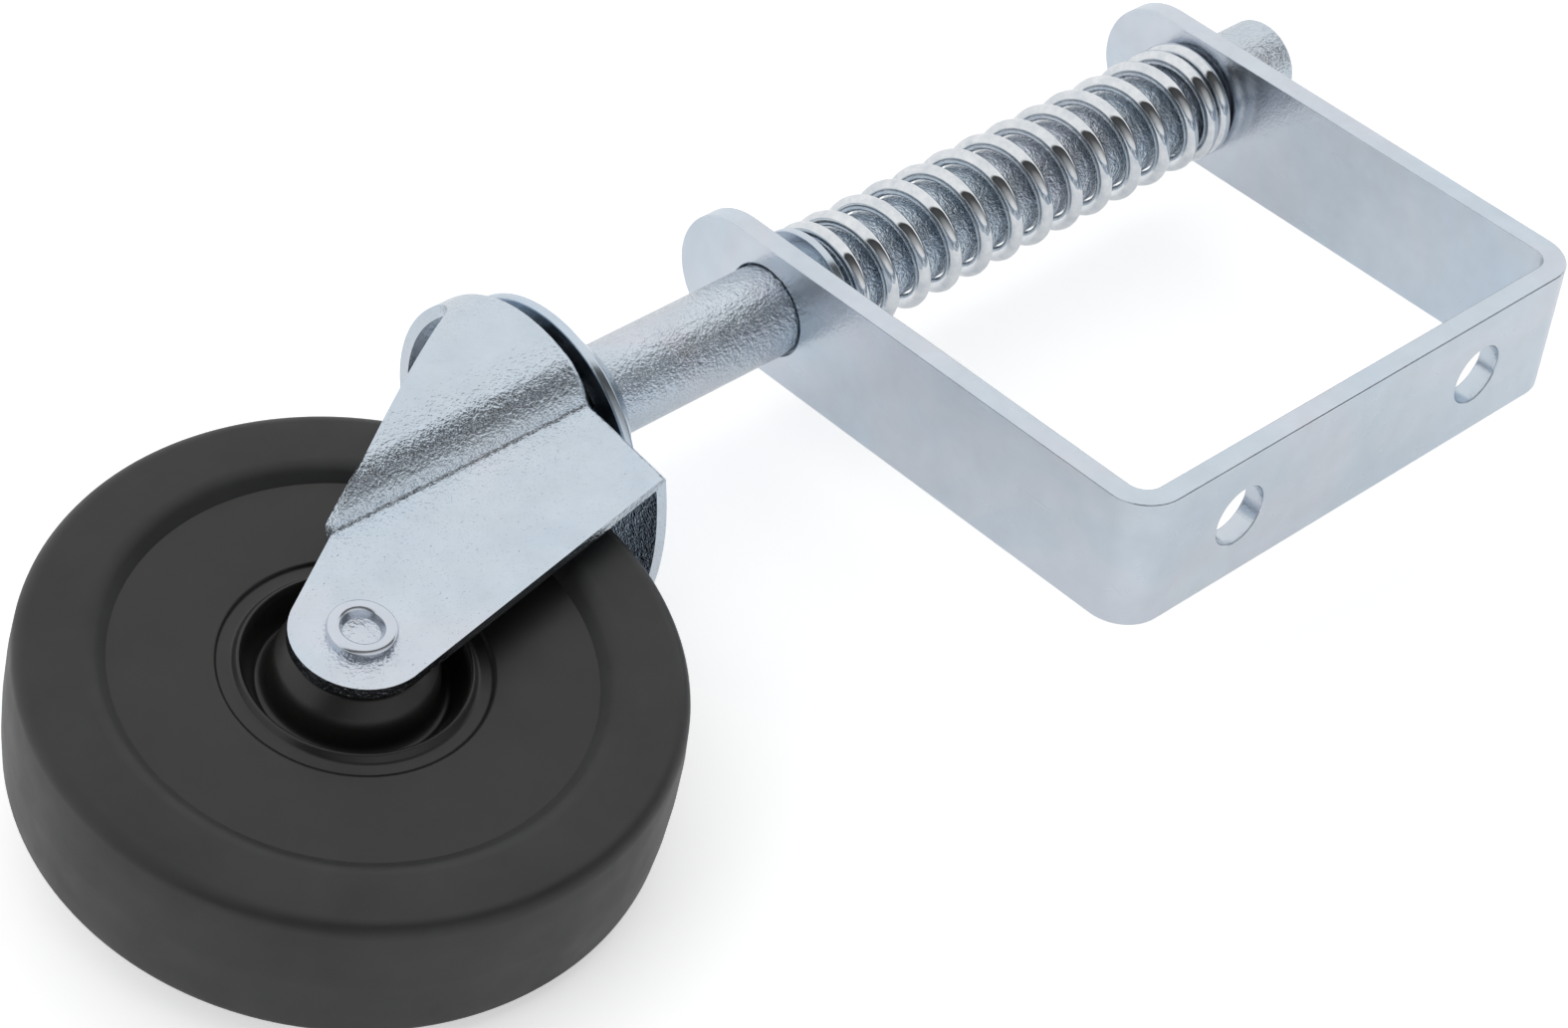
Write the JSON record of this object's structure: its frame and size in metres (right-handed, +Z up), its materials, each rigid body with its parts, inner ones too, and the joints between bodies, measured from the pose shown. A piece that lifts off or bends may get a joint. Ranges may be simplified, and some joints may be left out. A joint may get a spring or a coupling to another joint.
{
  "type": "spring-loaded gate wheel",
  "caption": "Gate wheel: rubber-tyred wheel in a swivel fork under a spring-loaded stem rod that slides in a U-shaped bolt-on bracket.",
  "frame": {"origin": "middle of the two bolt holes, on the bracket's mounting face", "axes": "+Z up along the stem rod; +Y out of the mounting face, towards the gate; X across the bracket's flat bar"},
  "size_m": [0.0485, 0.1083, 0.2861],
  "materials": {
    "zinc_bracket": "bright blue-white zinc plate on flat bar, satin with brighter sheared edges",
    "zinc_rod": "zinc plated drawn bar, fine grained",
    "pin_steel": "oiled spring steel",
    "zinc_small": "zinc plated, tumbled",
    "spring_chrome": "bright zinc plated spring wire",
    "zinc_pressed": "zinc plated pressing",
    "ball_steel": "polished bearing balls, greased",
    "zinc_fork": "bright blue-white zinc plated pressed sheet, fine orange peel",
    "rivet_zinc": "zinc plated, rolled rim",
    "sleeve_steel": "plain drawn tube, greased",
    "bush_plastic": "natural moulded nylon",
    "core_plastic": "black moulded core, slight sheen",
    "tyre_rubber": "black moulded rubber, matt, light bloom"
  },
  "bodies": {
    "bracket_body": {"bracket": "zinc_bracket", "spring": "spring_chrome"},
    "spring_seat": {"seat_washer": "zinc_small"},
    "stem": {"stem_rod": "zinc_rod", "cross_pin": "pin_steel", "bearing_cap": "zinc_pressed", "lower_cup": "zinc_pressed"},
    "swivel": {"fork": "zinc_fork", "upper_balls": "ball_steel", "lower_balls": "ball_steel", "axle_rivet": "rivet_zinc", "axle_sleeve": "sleeve_steel", "side_washers": "zinc_small"},
    "wheel": {"hub_bush": "bush_plastic", "wheel_core": "core_plastic", "tyre": "tyre_rubber"}
  },
  "joints": [
    {"name": "stem_slide", "type": "slide", "parent": "bracket_body", "child": "spring_seat", "axis": [0, 0, 1], "range_m": [0, 0.035], "stiffness_N_per_m": 7500, "springref_m": -0.012, "deforming": ["spring"]},
    {"name": "stem_turn", "type": "hinge", "parent": "spring_seat", "child": "stem", "pos_m": [0, -0.0843, 0], "axis": [0, 0, 1], "continuous": true},
    {"name": "fork_swivel", "type": "hinge", "parent": "stem", "child": "swivel", "pos_m": [0, -0.0843, -0.107], "axis": [0, 0, 1], "continuous": true},
    {"name": "wheel_spin", "type": "hinge", "parent": "swivel", "child": "wheel", "pos_m": [-0.00447, -0.05463, -0.1661], "axis": [0.9889, 0.1488, 0], "continuous": true}
  ]
}
